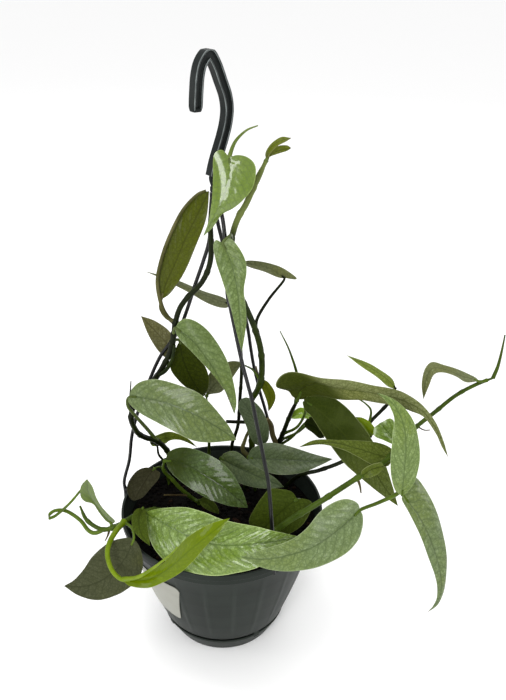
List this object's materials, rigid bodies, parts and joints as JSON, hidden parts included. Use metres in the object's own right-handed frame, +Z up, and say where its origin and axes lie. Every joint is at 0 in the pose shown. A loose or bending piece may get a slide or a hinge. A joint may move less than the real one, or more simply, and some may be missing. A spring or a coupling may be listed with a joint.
{
  "type": "potted cebu blue pothos",
  "caption": "Climbing and trailing pothos with narrow silvery-green leaves in a tapered hanging pot with saucer, wire strands and hook.",
  "frame": {"origin": "middle of the saucer's flat underside, on the pot's axis", "axes": "+Z is up along the pot's axis, the front of the pot faces -Y, +X is to the right as the picture shows it"},
  "size_m": [0.439, 0.2305, 0.5824],
  "materials": {
    "pot_plastic": "dark grey moulded plastic with faint upright ribs, satin",
    "saucer_plastic": "dark grey moulded plastic, satin",
    "label_paper": "bare white coated sticker",
    "potting_soil": "moist, dark, coarse peat and bark, rough",
    "hook_plastic": "dark grey moulded plastic with worn, lighter edges",
    "strand_plastic": "near-black glossy plastic wire",
    "leaf_sage": "living leaf, grey-green with a silvery sheen and darker netted veins, satin",
    "leaf_bright": "young living leaf, bright to lime green, glossy",
    "leaf_olive": "shaded leaf and its underside, olive green, satin",
    "stem_green": "living stem and stalk, dark to olive green, satin"
  },
  "bodies": {
    "root": {"pot": "pot_plastic", "saucer": "saucer_plastic", "pot_label": "label_paper", "soil": "potting_soil", "hanger_hook": "hook_plastic", "hanger_strand_left": "strand_plastic", "hanger_strand_front": "strand_plastic", "hanger_strand_back": "strand_plastic", "vine_left_climber": "leaf_sage", "vine_right_climber": "leaf_sage", "vine_centre": "stem_green", "leaf_grey_behind": "leaf_sage", "vine_right_crown": "leaf_olive", "vine_behind_right": "leaf_olive", "vine_long_right": "leaf_sage", "vine_left_trailing": "leaf_bright", "leaf_glossy_front": "leaf_sage", "leaf_olive_left": "leaf_olive", "leaf_narrow_back": "leaf_olive", "leaf_blue_upright": "leaf_sage", "leaf_grey_upper": "leaf_sage", "leaf_grey_lower": "leaf_sage", "leaf_folded_olive": "leaf_bright"}
  },
  "joints": []
}
